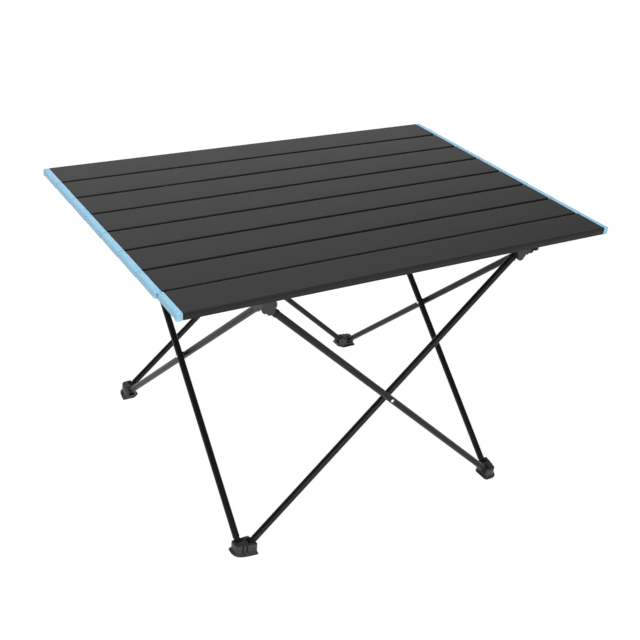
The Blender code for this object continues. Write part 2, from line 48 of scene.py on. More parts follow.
CAMERA_AIM = Vector((0, 0, 0.2))
SENSOR_WIDTH = 36
FOCAL_LENGTH = 58.51

backward = Vector(
    (
        math.sin(CAMERA_AZIMUTH) * math.cos(CAMERA_ELEVATION),
        -math.cos(CAMERA_AZIMUTH) * math.cos(CAMERA_ELEVATION),
        math.sin(CAMERA_ELEVATION),
    )
)
level = Vector((math.cos(CAMERA_AZIMUTH), math.sin(CAMERA_AZIMUTH), 0))
rolled = Matrix.Rotation(CAMERA_ROLL, 3, backward)
sideways, upward = rolled @ level, rolled @ backward.cross(level)
camera = bpy.data.objects.new("camera", bpy.data.cameras.new("camera"))
camera.data.sensor_width = SENSOR_WIDTH
camera.data.lens = FOCAL_LENGTH
stand = Matrix((sideways, upward, backward)).transposed().to_4x4()
stand.translation = (
    CAMERA_AIM + backward * CAMERA_DISTANCE + sideways * CAMERA_SHIFT_RIGHT + upward * CAMERA_SHIFT_UP
)
camera.matrix_world = stand
bpy.context.scene.collection.objects.link(camera)
bpy.context.scene.camera = camera

# Feet: black nylon mouldings, one under each corner, each with a rounded outer corner and a sole flared out
# like a skirting. In two slots open at the top the ends of two leg tubes turn on snap bosses, and two grooves
# are cored out of the front wall, which keeps it even in thickness.
CORNERS = ("front_left", "front_right", "back_right", "back_left")
CORNER_SIGNS = ((-1, -1), (1, -1), (1, 1), (-1, 1))
FRAME_SHIFT = -0.0032
FOOT_DISTANCE = 0.1803
FOOT_SETBACK = 0.0099
FOOT_OFFSET = 0.0030
FOOT_PIVOT_Z = 0.0098
FOOT_TOP = 0.0133
SLOT_HALF_WIDTH = 0.0043
FOOT_SLOT_REACH = 0.0045
BOSS_RADIUS = 0.0018
BOSS_TIP = 0.0014
BOSS_REACH = 0.0028
FOOT_EYE_ROOM = 0.0048
PEG_SIDES = 24
# How far a carving tool reaches past the piece
CLEAR = 0.03
# Grooves in the front wall: start and end along the edge, and how deep across
GROOVES = ((-0.0042, -0.0021, -0.0018), (0.0009, 0.0027, -0.0028))
GROOVE_FLOOR = 0.0036
PAD_MIDDLES = (0.0047, 0.0093)
PAD_LINE = 0.0096
PAD_RADIUS = 0.0011
# Corners of the block and of the sole, with the radius that each is eased by: along the table's edge, across it
BLOCK = [
    (-0.0100, 0.0118, 0.0008),
    (-0.0108, 0.0110, 0.0008),
    (-0.0108, 0.0045, 0.0030),
    (-0.0100, 0.0000, 0.0022),
    (-0.0078, -0.0024, 0.0018),
    (-0.0042, -0.0034, 0.0020),
    (0.0020, -0.0045, 0.0020),
    (0.0134, -0.0062, 0.0008),
    (0.0145, -0.0053, 0.0008),
    (0.0146, 0.0060, 0.0015),
    (0.0093, 0.0110, 0.0015),
    (0.0080, 0.0118, 0.0010),
]
SOLE = [
    (-0.0112, 0.0146, 0.0012),
    (-0.0133, 0.0125, 0.0012),
    (-0.0136, 0.0045, 0.0030),
    (-0.0125, 0.0000, 0.0024),
    (-0.0101, -0.0035, 0.0022),
    (-0.0062, -0.0060, 0.0022),
    (0.0012, -0.0080, 0.0030),
    (0.0138, -0.0095, 0.0008),
    (0.0147, -0.0085, 0.0008),
    (0.0149, 0.0066, 0.0020),
    (0.0105, 0.0122, 0.0020),
    (0.0080, 0.0146, 0.0012),
]


def eased(corners, steps=4):
    """A closed outline from corners (x, y, radius): each is turned in a short curve of that reach."""
    outline = []
    for i, (x, y, radius) in enumerate(corners):
        corner = Vector((x, y))
        before, after = (Vector(corners[j % len(corners)][:2]) - corner for j in (i - 1, i + 1))
        reach = min(radius, 0.48 * before.length, 0.48 * after.length)
        start, end = corner + before.normalized() * reach, corner + after.normalized() * reach
        for step in range(steps + 1):
            share = step / steps
            outline.append(start.lerp(corner, share).lerp(corner.lerp(end, share), share).to_tuple())
    return outline


def drawn_in(outline, by):
    """The outline with each side moved in by that much, about its middle."""
    low, high = (Vector([pick(point[axis] for point in outline) for axis in (0, 1)]) for pick in (min, max))
    middle, size = (low + high) / 2, high - low
    shrink = [1 - 2 * by / side for side in size]
    return [tuple(middle[axis] + (point[axis] - middle[axis]) * shrink[axis] for axis in (0, 1)) for point in outline]


def between(first, second, share):
    """An outline part of the way from one to another with as many points."""
    return [Vector(a).lerp(Vector(b), share).to_tuple() for a, b in zip(first, second)]


def shell(name, rings):
    """A closed mesh skinned over rings with as many points each, as a scratch object to work on."""
    bm = bmesh.new()
    loops = [[bm.verts.new(point) for point in ring] for ring in rings]
    bm.faces.new(reversed(loops[0]))
    bm.faces.new(loops[-1])
    for low, high in zip(loops, loops[1:]):
        for i, j in enumerate([*range(1, len(low)), 0]):
            bm.faces.new((low[i], low[j], high[j], high[i]))
    bmesh.ops.recalc_face_normals(bm, faces=bm.faces)
    mesh = bpy.data.meshes.new(name)
    bm.to_mesh(mesh)
    bm.free()
    made = bpy.data.objects.new(name, mesh)
    bpy.context.scene.collection.objects.link(made)
    return made


def upright(name, levels):
    """A shell from levels (height, outline)."""
    return shell(name, [[(x, y, height) for x, y in outline] for height, outline in levels])


def block(low, high):
    """A box from its lowest corner to its highest."""
    (x0, y0, z0), (x1, y1, z1) = low, high
    return upright("block", [(z, [(x0, y0), (x1, y0), (x1, y1), (x0, y1)]) for z in (z0, z1)])


def peg(start, end, radius, tip=None):
    """A round peg from one point to another, tapered if it has a tip radius."""
    start, end = Vector(start), Vector(end)
    turn = Vector((0, 0, 1)).rotation_difference(end - start).to_matrix()
    angles = [math.tau * i / PEG_SIDES for i in range(PEG_SIDES)]
    return shell(
        "peg",
        [
            [place + turn @ Vector((size * math.cos(a), size * math.sin(a), 0)) for a in angles]
            for place, size in ((start, radius), (end, radius if tip is None else tip))
        ],
    )


def settled(body):
    """Applies what modifiers the scratch object has."""
    body.data = bpy.data.meshes.new_from_object(body.evaluated_get(bpy.context.evaluated_depsgraph_get()))
    body.modifiers.clear()


def work(body, tool, operation):
    """Welds the tool to the body, or carves the body with it."""
    step = body.modifiers.new(operation, "BOOLEAN")
    step.operation = operation
    step.object = tool
    step.solver = "EXACT"
    settled(body)
    bpy.data.objects.remove(tool)


def moulded(body, edge, threshold=40):
    """Takes the mesh off a scratch object, with its sharp edges broken and its flats kept flat in shading."""
    step = body.modifiers.new("edges", "BEVEL")
    step.width = edge
    step.segments = 2
    step.limit_method = "ANGLE"
    step.angle_limit = math.radians(threshold)
    settled(body)
    body.data.shade_smooth()
    body.data.set_sharp_from_angle(angle=math.radians(50))
    body.modifiers.new("flats", "WEIGHTED_NORMAL").keep_sharp = True
    settled(body)
    mesh = body.data
    bpy.data.objects.remove(body)
    return mesh


class Wire:
    """An output socket, with arithmetic that adds Math nodes to its material."""

    def __init__(self, finish, socket):
        self.finish = finish
        self.socket = socket

    def math(self, operation, *values):
        return self.finish.node("Math", {"operation": operation}, dict(enumerate(values)))

    def __add__(self, other):
        return self.math("ADD", self, other)

    def __mul__(self, other):
        return self.math("MULTIPLY", self, other)

    __radd__ = __add__
    __rmul__ = __mul__


class Finish:
    """A material whose surface is one Principled BSDF, and the nodes that vary it."""

    def __init__(self, name, roughness, metallic=0, specular=0.5):
        self.material = bpy.data.materials.new(name)
        self.material.use_nodes = True
        self.tree = self.material.node_tree
        self.surface = self.tree.nodes["Principled BSDF"]
        self.surface.inputs["Roughness"].default_value = roughness
        self.surface.inputs["Metallic"].default_value = metallic
        self.surface.inputs["Specular IOR Level"].default_value = specular

    def node(self, kind, settings, values, output=0):
        """Adds a node, with its settings and with what its inputs are fed or set to."""
        made = self.tree.nodes.new("ShaderNode" + kind)
        for name, value in settings.items():
            if name == "stops":
                made.color_ramp.elements[0].position, made.color_ramp.elements[1].position = value
            else:
                setattr(made, name, value)
        for key, value in values.items():
            if isinstance(value, Wire):
                self.tree.links.new(value.socket, made.inputs[key])
            else:
                made.inputs[key].default_value = value
        return Wire(self, made.outputs[output])

    def place(self):
        """Where the surface is in the piece's own frame, in metres."""
        return self.node("TexCoord", {}, {}, "Object")

    def stretched(self, place, scale):
        """The place, scaled differently along each axis."""
        return self.node("VectorMath", {"operation": "MULTIPLY"}, {0: place, 1: scale})

    def noise(self, place, scale, detail, roughness=0.5):
        values = {"Vector": place, "Scale": scale, "Detail": detail, "Roughness": roughness}
        return self.node("TexNoise", {"noise_dimensions": "3D"}, values)

    def ramp(self, value, low, high):
        """0 below low, 1 above high."""
        return self.node("ValToRGB", {"stops": (low, high)}, {0: value})

    def mixed(self, factor, first, second):
        """A colour between two colours."""
        return self.node("Mix", {"data_type": "RGBA"}, {0: factor, 6: (*first, 1), 7: (*second, 1)}, 2)

    def feed(self, socket, wire):
        self.tree.links.new(wire.socket, self.surface.inputs[socket])

    def bump(self, height, distance, strength):
        values = {"Height": height, "Distance": distance, "Strength": strength}
        self.feed("Normal", self.node("Bump", {}, values))


def nylon(name, dark, pale, roughness):
    """Black moulded nylon: a fine spark-eroded grain, faint flow marks and a little rubbed-in dust."""
    finish = Finish(name, roughness, specular=0.4)
    place = finish.place()
    flow = finish.noise(place, 90, detail=4)
    grain = finish.noise(place, 1800, detail=2)
    dust = finish.ramp(finish.noise(place, 260, detail=6, roughness=0.7), 0.48, 0.72)
    finish.feed("Base Color", finish.mixed(0.35 * flow + 0.5 * dust, dark, pale))
    finish.feed("Roughness", roughness - 0.08 + 0.12 * flow + 0.1 * dust)
    finish.bump(grain, 0.00008, 0.5)
    return finish


def fit(name, mesh, place, body, node, finish):
    """Puts a piece in its place on the body that carries it, instead of that node's plain solid."""
    if not mesh.materials:
        mesh.materials.append(finish.material)
    piece = bpy.data.objects.new(name, mesh)
    piece.matrix_world = place
    bpy.context.scene.collection.objects.link(piece)
    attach(piece, body)
    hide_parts(node)


def corner_place(index, distance):
    """A frame at a corner: x runs along to the next corner counter-clockwise, y across to the one before."""
    sx, sy = CORNER_SIGNS[index % 4]
    quarter = Matrix.Rotation(math.radians(90 * index), 4, "Z")
    return Matrix.Translation((FRAME_SHIFT + sx * distance, sy * distance, 0)) @ quarter


def slot(body, low, high, turned):
    """Carves the slot that a tube eye turns in."""
    tool = block(low, high)
    tool.data.transform(Matrix.Rotation(math.radians(90 if turned else 0), 4, "Z"))
    work(body, tool, "DIFFERENCE")


def boss(body, setback, across, height, side, reach, turned):
    """A snap boss on a slot's wall, which reaches into the bore of the eye."""
    root = (setback, across + side * (SLOT_HALF_WIDTH + 0.001), height)
    tip = (setback, across + side * (SLOT_HALF_WIDTH - reach), height)
    tool = peg(root, tip, BOSS_RADIUS, BOSS_TIP)
    tool.data.transform(Matrix.Rotation(math.radians(90 if turned else 0), 4, "Z"))
    work(body, tool, "UNION")


def foot_shape():
    sole, wall = eased(SOLE), eased(BLOCK)
    foot = upright(
        "foot",
        [
            (0, drawn_in(sole, 0.0003)),
            (0.0003, sole),
            (0.0008, sole),
            (0.0012, between(sole, wall, 0.16)),
            (0.0020, between(sole, wall, 0.80)),
            (0.0026, wall),
            (FOOT_TOP - 0.0008, wall),
            (FOOT_TOP - 0.0003, drawn_in(wall, 0.0002)),
            (FOOT_TOP, drawn_in(wall, 0.0006)),
        ],
    )
    for turned in (False, True):
        low = (FOOT_SETBACK - FOOT_SLOT_REACH, FOOT_OFFSET - SLOT_HALF_WIDTH, FOOT_PIVOT_Z - FOOT_EYE_ROOM)
        slot(foot, low, (CLEAR, FOOT_OFFSET + SLOT_HALF_WIDTH, CLEAR), turned)
        for side in (-1, 1):
            boss(foot, FOOT_SETBACK, FOOT_OFFSET, FOOT_PIVOT_Z, side, BOSS_REACH, turned)
    for start, end, depth in GROOVES:
        work(foot, block((start, -0.02, GROOVE_FLOOR), (end, depth, CLEAR)), "DIFFERENCE")
    # The rib between the grooves runs out in a small ramp on the sole, and two low pads stand on the back edge
    rib = (GROOVES[0][1], GROOVES[1][0])
    ramp = [[(x, -0.0037, 0.0052), (x, -0.0062, 0.0023), (x, -0.0037, 0.0018)] for x in rib]
    work(foot, shell("ramp", ramp), "UNION")
    for middle in PAD_MIDDLES:
        ends = [(middle + side * PAD_RADIUS, PAD_LINE, FOOT_TOP - 0.0003) for side in (-1, 1)]
        work(foot, peg(*ends, PAD_RADIUS), "UNION")
    return moulded(foot, 0.0002)


FOOT_NYLON = nylon("foot_nylon", (0.024, 0.024, 0.023), (0.066, 0.065, 0.062), 0.50)
foot = foot_shape()
for index, corner in enumerate(CORNERS):
    place = corner_place(index, FOOT_DISTANCE)
    fit("moulded_foot_" + corner, foot, place, "foot_" + corner, "foot_" + corner, FOOT_NYLON)

# Leg tubes: drawn aluminium, 8 mm across, anodised black. A black nylon fitting is pressed into each end: a collar
# against the tube's end, a waisted neck, and a round eye that turns in a foot or a hub.
FACES = ("front", "right", "back", "left")
HUB_DISTANCE = 0.1753
HUB_SETBACK = 0.0049
HUB_OFFSET = 0.0060
HUB_PIVOT_Z = 0.3208
TUBE_RADIUS = 0.0040
FOOT_EYE_RADIUS = 0.0040
HUB_EYE_RADIUS = 0.0046
EYE_HALF_WIDTH = 0.0040
EYE_BORE = 0.0022
FOOT_COLLAR = 0.0068
HUB_COLLAR = 0.0134
ARM_RUN = FOOT_DISTANCE - FOOT_SETBACK
TUBE_RISE = HUB_PIVOT_Z - FOOT_PIVOT_Z
HALF_TUBE = math.hypot(2 * ARM_RUN, TUBE_RISE) / 2
CROSSING_Z = (FOOT_PIVOT_Z + HUB_PIVOT_Z) / 2
CROSSING_DISTANCE = (FOOT_DISTANCE + HUB_DISTANCE) / 2
CROSSING_OFFSET = (FOOT_OFFSET + HUB_OFFSET) / 2


def spun(name, profile, segments=40):
    """A shell turned about X, from stations (x, radius) or (x, half width, half height)."""
    angles = [math.tau * i / segments for i in range(segments)]
    return shell(
        name,
        [[(x, sizes[0] * math.cos(a), sizes[-1] * math.sin(a)) for a in angles] for x, *sizes in profile],
    )


def eye_stations(radius, half_width):
    """A short barrel with rounded rims."""
    rim = 0.0005
    return [
        (-half_width, radius - rim),
        (-half_width + 0.15 * rim, radius - 0.5 * rim),
        (-half_width + rim, radius),
        (half_width - rim, radius),
        (half_width - 0.15 * rim, radius - 0.5 * rim),
        (half_width, radius - rim),
    ]


def leg_tube(lean):
    """From the foot at -X to the hub at +X. The lean is how far it slants in Y over its length."""
    foot_collar, hub_collar = FOOT_COLLAR - HALF_TUBE, HALF_TUBE - HUB_COLLAR
    tube = spun(
        "leg_tube",
        [
            (-HALF_TUBE, 0.0034, 0.0030),
            (foot_collar - 0.0012, 0.0036, 0.0036),
            (foot_collar - 0.0011, 0.0039),
            (foot_collar - 0.0009, 0.0041),
            (foot_collar + 0.0009, 0.0041),
            (foot_collar + 0.0010, TUBE_RADIUS),
            (foot_collar + 0.0011, TUBE_RADIUS - 0.0001),
            (foot_collar + 0.0013, TUBE_RADIUS),
            (0, TUBE_RADIUS),
            (hub_collar - 0.0014, TUBE_RADIUS),
            (hub_collar - 0.0012, TUBE_RADIUS - 0.0001),
            (hub_collar - 0.0011, 0.0042),
            (hub_collar - 0.0007, 0.0045),
            (hub_collar + 0.0006, 0.0046),
            (hub_collar + 0.0012, 0.0043, 0.0045),
            (hub_collar + 0.0020, 0.0038, 0.0044),
            (hub_collar + 0.0040, 0.0036, 0.0043),
            (HALF_TUBE, 0.0036, 0.0040),
        ],
    )
    for end, radius in ((-HALF_TUBE, FOOT_EYE_RADIUS), (HALF_TUBE, HUB_EYE_RADIUS)):
        eye = spun("eye", eye_stations(radius, EYE_HALF_WIDTH))
        eye.data.transform(Matrix.Translation((end, 0, 0)) @ Matrix.Rotation(math.radians(90), 4, "Z"))
        work(tube, eye, "UNION")
        work(tube, peg((end, -0.01, 0), (end, 0.01, 0), EYE_BORE), "DIFFERENCE")
    slant = Matrix.Identity(4)
    slant[1][0] = lean / (2 * HALF_TUBE)
    tube.data.transform(slant)
    return moulded(tube, 0.00012, 55)


TUBE_BLACK = Finish("black_tube", 0.36, specular=0.18)
drawn = TUBE_BLACK.stretched(TUBE_BLACK.place(), (12, 900, 900))
lines = TUBE_BLACK.noise(drawn, 1.0, detail=2)
TUBE_BLACK.feed("Base Color", TUBE_BLACK.mixed(lines, (0.006, 0.006, 0.0055), (0.014, 0.014, 0.0125)))
TUBE_BLACK.bump(lines, 0.00002, 0.4)

steep = Matrix.Rotation(-math.atan2(TUBE_RISE, 2 * ARM_RUN), 4, "Y")
inner_lean = (FOOT_DISTANCE - FOOT_OFFSET) - (HUB_DISTANCE - HUB_OFFSET)
outer_lean = (HUB_DISTANCE + HUB_OFFSET) - (FOOT_DISTANCE + FOOT_OFFSET)
for which, lean, outward, half_turn in (
    ("inner", inner_lean, -CROSSING_OFFSET, 0),
    ("outer", outer_lean, CROSSING_OFFSET, 180),
):
    tube = leg_tube(lean)
    for index, face in enumerate(FACES):
        quarter = Matrix.Rotation(math.radians(90 * index), 4, "Z")
        middle = quarter @ Vector((0, -CROSSING_DISTANCE - outward, CROSSING_Z)) + Vector((FRAME_SHIFT, 0, 0))
        place = Matrix.Translation(middle) @ quarter @ Matrix.Rotation(math.radians(half_turn), 4, "Z") @ steep
        body, node = f"tube_{face}_{which}", f"leg_tube_{face}_{which}"
        fit(f"drawn_tube_{face}_{which}", tube, place, body, node, TUBE_BLACK)

# Crossing rivets: plated steel, with a domed head outside and a rolled end inside, one through each pair of
# tubes. A thin black nylon washer on each keeps the two tubes apart.
RIVET_GRIP = CROSSING_OFFSET + TUBE_RADIUS + 0.0002
RIVET_HEAD = 0.0021
RIVET_SHANK = 0.0014
WASHER_RADIUS = 0.0036
WASHER_HALF = 0.0003


def rivet_shape():
    """Turned in one piece from the head's middle to the dimple in the rolled end, with the washer on its shank."""
    dome = [(0.0012 * math.sin(a), RIVET_HEAD * math.cos(a)) for a in (math.radians(12 * i) for i in range(8))]
    head = [(-RIVET_GRIP - rise, radius) for rise, radius in reversed(dome)]
    rolled_end = [
        (RIVET_GRIP + rise, radius)
        for rise, radius in (
            (0, 0.0019),
            (0.0004, 0.0020),
            (0.0008, 0.0017),
            (0.0009, 0.0013),
            (0.0008, 0.0009),
            (0.0003, 0.0007),
        )
    ]
    washer = [
        (-WASHER_HALF, RIVET_SHANK),
        (-WASHER_HALF, WASHER_RADIUS - 0.0002),
        (-WASHER_HALF + 0.0001, WASHER_RADIUS),
        (WASHER_HALF - 0.0001, WASHER_RADIUS),
        (WASHER_HALF, WASHER_RADIUS - 0.0002),
        (WASHER_HALF, RIVET_SHANK),
    ]
    outside, inside = [(-RIVET_GRIP, RIVET_SHANK)], [(RIVET_GRIP, RIVET_SHANK)]
    rivet = spun("rivet", head + outside + washer + inside + rolled_end, 32)
    rivet.data.transform(Matrix.Rotation(math.radians(90), 4, "Z"))
    rivet.data.materials.append(RIVET_STEEL.material)
    rivet.data.materials.append(WASHER_NYLON.material)
    for face in rivet.data.polygons:
        apart = math.hypot(face.center.x, face.center.z)
        face.material_index = int(abs(face.center.y) < 1.5 * WASHER_HALF and apart > RIVET_SHANK * 1.05)
    return moulded(rivet, 0.00005, 60)


RIVET_STEEL = Finish("rivet_steel", 0.25, metallic=1)
wear = RIVET_STEEL.noise(RIVET_STEEL.place(), 1400, detail=3)
RIVET_STEEL.feed("Base Color", RIVET_STEEL.mixed(wear, (0.72, 0.72, 0.70), (0.95, 0.95, 0.93)))
RIVET_STEEL.feed("Roughness", 0.18 + 0.2 * wear)
WASHER_NYLON = nylon("washer_nylon", (0.02, 0.02, 0.02), (0.05, 0.05, 0.048), 0.5)
rivet = rivet_shape()
RIVET_BODIES = ("tube_front_inner", "tube_right_inner", "tube_back_outer", "tube_left_outer")
for index, (face, body) in enumerate(zip(FACES, RIVET_BODIES)):
    quarter = Matrix.Rotation(math.radians(90 * index), 4, "Z")
    middle = quarter @ Vector((0, -CROSSING_DISTANCE, CROSSING_Z)) + Vector((FRAME_SHIFT, 0, 0))
    node = "crossing_rivet_" + face
    fit("domed_rivet_" + face, rivet, Matrix.Translation(middle) @ quarter, body, node, RIVET_STEEL)

# Top hubs: black nylon mouldings under the slats, one at each corner. A head with rounded corners carries the
# slats, and under it a lobed wall and an outer lug hold the eyes of two leg tubes in slots open below.
HUB_SEAT_Z = 0.3347
HEAD_BOTTOM = 0.3228
HEAD_EASE = 0.0004
LOBED_WALL = (-0.0020, 0.0017)
HEAD = [(-0.0060, -0.0137, 0.0010), (0.0129, -0.0137, 0.0048), (0.0131, 0.0125, 0.0020), (-0.0060, 0.0125, 0.0020)]
SEAT = [(-0.0060, -0.0137, 0.0010), (0.0085, -0.0137, 0.0030), (0.0085, 0.0090, 0.0020), (-0.0060, 0.0090, 0.0020)]
# The lobed wall: across the table's edge, and height
LOBES = [
    (-0.0055, 0.3245, 0.0002),
    (-0.0055, 0.3205, 0.0010),
    (-0.0016, 0.3161, 0.0012),
    (0.0022, 0.3180, 0.0010),
    (0.0030, 0.3140, 0.0014),
    (0.0050, 0.3110, 0.0018),
    (0.0080, 0.3104, 0.0018),
    (0.0110, 0.3112, 0.0018),
    (0.0125, 0.3140, 0.0014),
    (0.0125, 0.3245, 0.0002),
]
# Lugs, along the table's edge and in height: at the outer wall's end, round the outer eye, and on the inner wall
OUTER_LUG = [
    (-0.0053, 0.3245, 0.0002),
    (-0.0053, 0.3222, 0.0010),
    (-0.0043, 0.3210, 0.0016),
    (-0.0008, 0.3208, 0.0016),
    (0.0004, 0.3222, 0.0010),
    (0.0004, 0.3245, 0.0002),
]
EYE_LUG = [
    (-0.0006, 0.3245, 0.0002),
    (-0.0004, 0.3185, 0.0030),
    (0.0025, 0.3143, 0.0022),
    (0.0073, 0.3143, 0.0022),
    (0.0102, 0.3185, 0.0030),
    (0.0104, 0.3245, 0.0002),
]
INNER_LUG = [
    (0.0004, 0.3245, 0.0002),
    (0.0008, 0.3136, 0.0022),
    (0.0035, 0.3106, 0.0020),
    (0.0082, 0.3106, 0.0020),
    (0.0113, 0.3136, 0.0022),
    (0.0117, 0.3245, 0.0002),
]
# Each with its start and end across the edge
LUGS = ((OUTER_LUG, -0.0136, -0.0100), (EYE_LUG, -0.0121, -0.0101), (INNER_LUG, -0.0018, -0.0001))
# The wall on the far side of the turned slot
FAR_WALL = ((0.0102, -0.0010, 0.3138), (0.0121, 0.0122, 0.3245))
# First and last the slots for the eyes, and between them two cuts that hollow the head beside the lobed wall:
# lowest and highest corner, and whether it is turned to the other edge
HUB_SLOTS = (
    ((-0.0002, -0.0103, 0.30), (0.03, -0.0017, 0.3259), False),
    ((-0.0100, -0.0103, 0.30), (0.0010, -0.0056, 0.3320), False),
    ((-0.0100, -0.0057, 0.30), (-0.0021, 0.0130, 0.3320), False),
    ((-0.0002, -0.0103, 0.30), (0.03, -0.0017, 0.3259), True),
)


def hub_shape():
    head, seat = eased(HEAD), eased(SEAT)
    hub = upright(
        "hub",
        [
            (HEAD_BOTTOM, drawn_in(head, HEAD_EASE)),
            (HEAD_BOTTOM + HEAD_EASE, head),
            (0.3262, head),
            (0.3300, between(head, seat, 0.40)),
            (HUB_SEAT_Z, seat),
        ],
    )
    lobed = shell("lobed", [[(x, y, z) for y, z in eased(LOBES)] for x in LOBED_WALL])
    work(hub, lobed, "UNION")
    for lug, start, end in LUGS:
        work(hub, shell("lug", [[(x, y, z) for x, z in eased(lug)] for y in (start, end)]), "UNION")
    work(hub, block(*FAR_WALL), "UNION")
    for low, high, turned in HUB_SLOTS:
        slot(hub, low, high, turned)
    boss(hub, HUB_SETBACK, -HUB_OFFSET, HUB_PIVOT_Z, 1, 2 * SLOT_HALF_WIDTH - 0.001, False)
    for side in (-1, 1):
        boss(hub, HUB_SETBACK, -HUB_OFFSET, HUB_PIVOT_Z, side, BOSS_REACH, True)
    return moulded(hub, 0.0002)


HUB_NYLON = nylon("hub_nylon", (0.016, 0.016, 0.0155), (0.045, 0.0445, 0.042), 0.48)
hub = hub_shape()
for index, corner in enumerate(CORNERS):
    place = corner_place(index, HUB_DISTANCE)
    fit("moulded_hub_" + corner, hub, place, "hub_" + corner, "top_hub_" + corner, HUB_NYLON)

# Slats: extruded aluminium channels with in-turned lips and two stiffening ribs, anodised charcoal. The first
# and the last have a deeper skirt on the table's outside, with a fine line drawn along its top. The edges that
# face another slat are set back a little above their lips.
TABLE_LENGTH = 0.5600
TABLE_HEIGHT = 0.3420
SLAT_COUNT = 8
SLAT_WIDTH = 0.0467
SLAT_GAP = 0.0023
# The first slat stands closer to its neighbour than the others do, and a little further to the right
FRONT_GAP = 0.0012
FRONT_SLIDE = 0.0012
SLAT_DEPTH = 0.0070
SLAT_LENGTH = 0.5452
SKIRT_DEPTH = 0.0082
SLAT_EDGE = 0.0014
REBATE = 0.0005
REBATE_DEPTH = 0.0030
WALL = 0.0012
SKIRT_WALL = 0.0016
LIP = 0.0042
RIB_OFFSET = SLAT_WIDTH / 6
RIB_HALF = 0.0006
RIB_BOTTOM = -0.0032


def slat_corners(skirt):
    """The section of a slat, across and up from its top face. The skirt is -1 in front, 1 at the back, 0 for none."""
    half = SLAT_WIDTH / 2
    lipped = [
        (-half + REBATE, 0, SLAT_EDGE),
        (-half + REBATE, -REBATE_DEPTH, 0.0002),
        (-half, -REBATE_DEPTH - REBATE, 0.0002),
        (-half, -SLAT_DEPTH, 0.0002),
        (-half + LIP, -SLAT_DEPTH, 0.0003),
        (-half + LIP, -SLAT_DEPTH + WALL, 0.0003),
        (-half + REBATE + WALL, -SLAT_DEPTH + WALL, 0.0002),
        (-half + REBATE + WALL, -WALL, 0.0002),
    ]
    skirted = [
        (-half, 0, SLAT_EDGE),
        (-half, -0.0020, 0.0001),
        (-half + 0.0003, -0.0022, 0.0001),
        (-half + 0.0003, -0.0025, 0.0001),
        (-half, -0.0027, 0.0001),
        (-half, -SKIRT_DEPTH, 0.0004),
        (-half + SKIRT_WALL, -SKIRT_DEPTH, 0.0003),
        (-half + SKIRT_WALL, -WALL, 0.0002),
    ]
    ribs = [
        (middle + side, z, 0.0002)
        for middle in (-RIB_OFFSET, RIB_OFFSET)
        for side, z in ((-RIB_HALF, -WALL), (-RIB_HALF, RIB_BOTTOM), (RIB_HALF, RIB_BOTTOM), (RIB_HALF, -WALL))
    ]
    near = skirted if skirt else lipped
    far = [(-y, z, radius) for y, z, radius in reversed(lipped)]
    section = near + ribs + far
    return [(-y, z, radius) for y, z, radius in reversed(section)] if skirt > 0 else section


def slat_shape(skirt):
    outline = eased(slat_corners(skirt), 3)
    slat = shell("slat", [[(x, y, z) for y, z in outline] for x in (-SLAT_LENGTH / 2, SLAT_LENGTH / 2)])
    return moulded(slat, 0.0001, 75)


ANODISED = Finish("anodised_slat", 0.42, specular=0.22)
spot = ANODISED.place()
grain = ANODISED.noise(ANODISED.stretched(spot, (6, 1400, 1400)), 1.0, detail=3)
cloud = ANODISED.noise(spot, 22, detail=3)
ANODISED.feed(
    "Base Color",
    ANODISED.mixed(0.5 * grain + 0.5 * cloud, (0.0088, 0.0088, 0.0082), (0.0158, 0.0158, 0.0148)),
)
ANODISED.feed("Roughness", 0.36 + 0.08 * grain + 0.06 * cloud)
ANODISED.bump(grain, 0.00002, 0.4)

SLAT_MIDDLES = []
edge = -(SLAT_COUNT * SLAT_WIDTH + (SLAT_COUNT - 2) * SLAT_GAP + FRONT_GAP) / 2
for number in range(1, SLAT_COUNT + 1):
    SLAT_MIDDLES.append(edge + SLAT_WIDTH / 2)
    edge += SLAT_WIDTH + (FRONT_GAP if number == 1 else SLAT_GAP)
slat_meshes = {skirt: slat_shape(skirt) for skirt in (-1, 0, 1)}


def slat_place(number):
    slide = FRONT_SLIDE / 2 if number == 1 else -FRONT_SLIDE / 2
    return Matrix.Translation((slide, SLAT_MIDDLES[number - 1], TABLE_HEIGHT))


def skirt_of(number):
    return {1: -1, SLAT_COUNT: 1}.get(number, 0)


for number in range(1, SLAT_COUNT + 1):
    node, mesh = f"slat_{number}", slat_meshes[skirt_of(number)]
    fit(f"extruded_slat_{number}", mesh, slat_place(number), node, node, ANODISED)

# End caps: light blue mouldings pressed into both ends of each slat by three prongs. An elastic cord runs through
# a bore in them. Their outer faces stand proud a little at the front, and each has two ejector marks on top.
CAP_LENGTH = 0.0067
CAP_OVERHANG = 0.0009
CAP_TAPER = 0.0005
CAP_DEPTH = 0.0077
CAP_SKIRT_DEPTH = 0.0089
CAP_SKIRT_WIDTH = 0.0032
CAP_GAP = 0.0006
CAP_EASE = 0.0012
PRONG_LENGTH = 0.0110
PRONG_CLEARANCE = 0.0003
PRONG_RIB_CLEARANCE = 0.0009
EJECTOR_RADIUS = 0.0007
EJECTOR_DEPTH = 0.0009
CORD_DROP = 0.0039
CORD_BORE = 0.00155
BORE_REACH = 0.05


